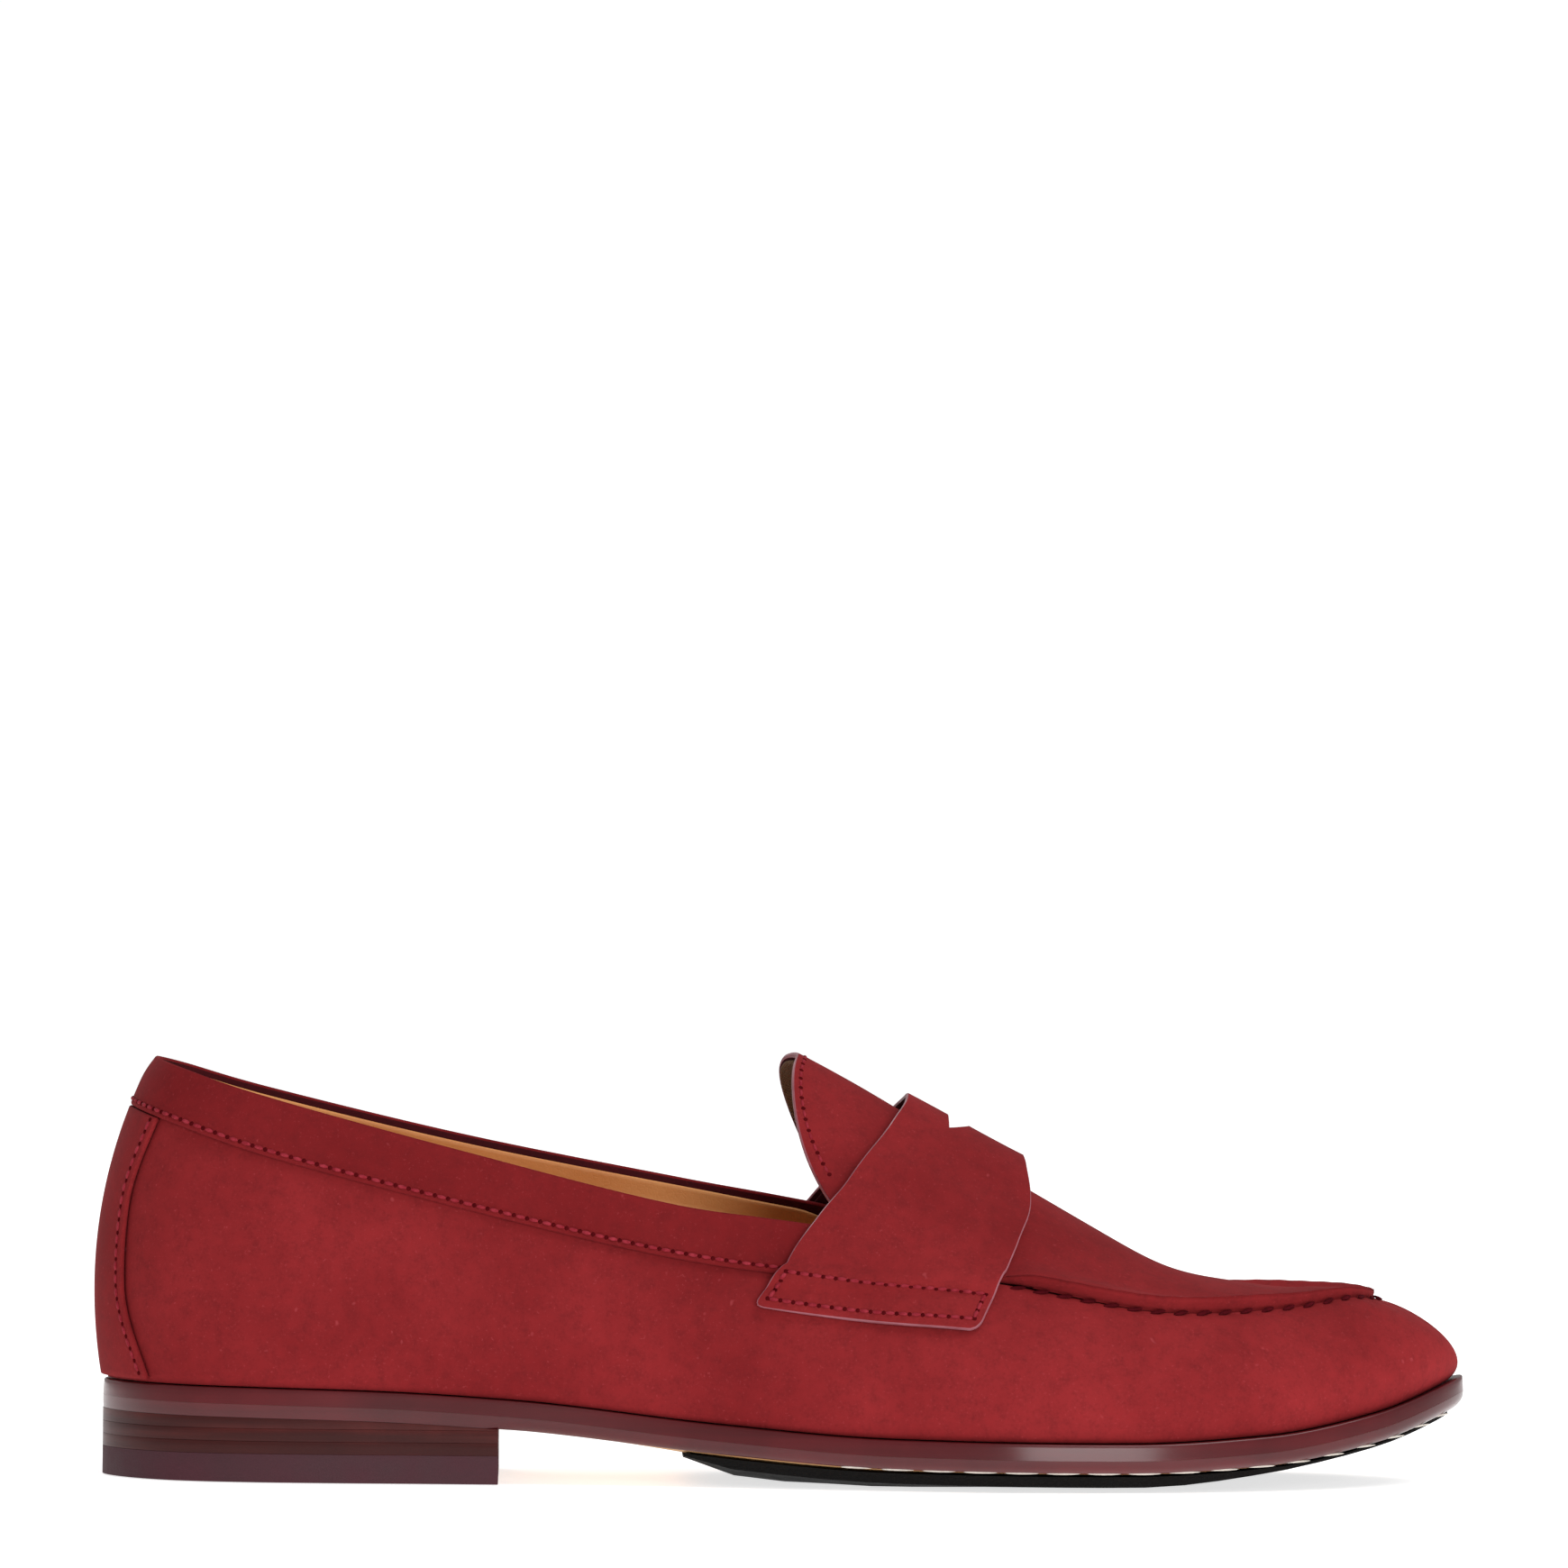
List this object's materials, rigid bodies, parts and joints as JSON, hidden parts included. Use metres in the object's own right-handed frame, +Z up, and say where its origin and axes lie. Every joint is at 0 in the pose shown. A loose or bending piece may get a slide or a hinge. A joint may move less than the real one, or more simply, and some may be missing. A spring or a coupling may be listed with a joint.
{
  "type": "penny loafer",
  "caption": "Low-heeled slip-on shoe with a raised hand-sewn apron, a saddle strap with a half-moon slot, a short upright tongue and a stacked heel.",
  "frame": {"origin": "middle of the shoe's box, on the ground it stands on", "axes": "+X towards the toe, +Y towards the inner side of the foot, +Z up"},
  "size_m": [0.2966, 0.0991, 0.0927],
  "materials": {
    "nubuck": "matt, brushed nubuck",
    "edge_leather": "polished, painted sole edge",
    "stack_leather": "polished, painted heel stack",
    "heel_rubber": "satin",
    "black_rubber": "matt",
    "tan_lining": "smooth, satin",
    "tongue_cloth": "woven, matt",
    "board": "matt fibreboard",
    "foam": "matt foam",
    "cork": "matt granulated cork",
    "steel": "brushed",
    "thread": "waxed thread"
  },
  "bodies": {
    "shoe": {"apron": "nubuck", "back_strip": "nubuck", "collar": "nubuck", "cork_filler": "cork", "forefoot_tread": "black_rubber", "heel_counter": "board", "heel_lift_1": "stack_leather", "heel_lift_2": "stack_leather", "heel_lift_3": "stack_leather", "heel_nail_1": "steel", "heel_nail_2": "steel", "heel_nail_3": "steel", "heel_nail_4": "steel", "heel_nail_5": "steel", "heel_pad": "foam", "heel_top_lift": "heel_rubber", "insole_board": "board", "midsole": "edge_leather", "outsole": "edge_leather", "quarter_lining": "tan_lining", "saddle_strap": "nubuck", "seam_thread": "thread", "side_wall": "nubuck", "sock_liner": "tan_lining", "steel_shank": "steel", "strap_lining": "tan_lining", "toe_puff": "board", "vamp_lining": "tan_lining"},
    "tongue": {"tongue": "nubuck", "tongue_lining": "tongue_cloth"}
  },
  "joints": [
    {"name": "tongue_flex", "type": "hinge", "parent": "shoe", "child": "tongue", "pos_m": [0.0255, 0, 0.077], "axis": [0, 1, 0], "range_deg": [-8, 12], "stiffness_Nm_per_rad": 0.05}
  ]
}
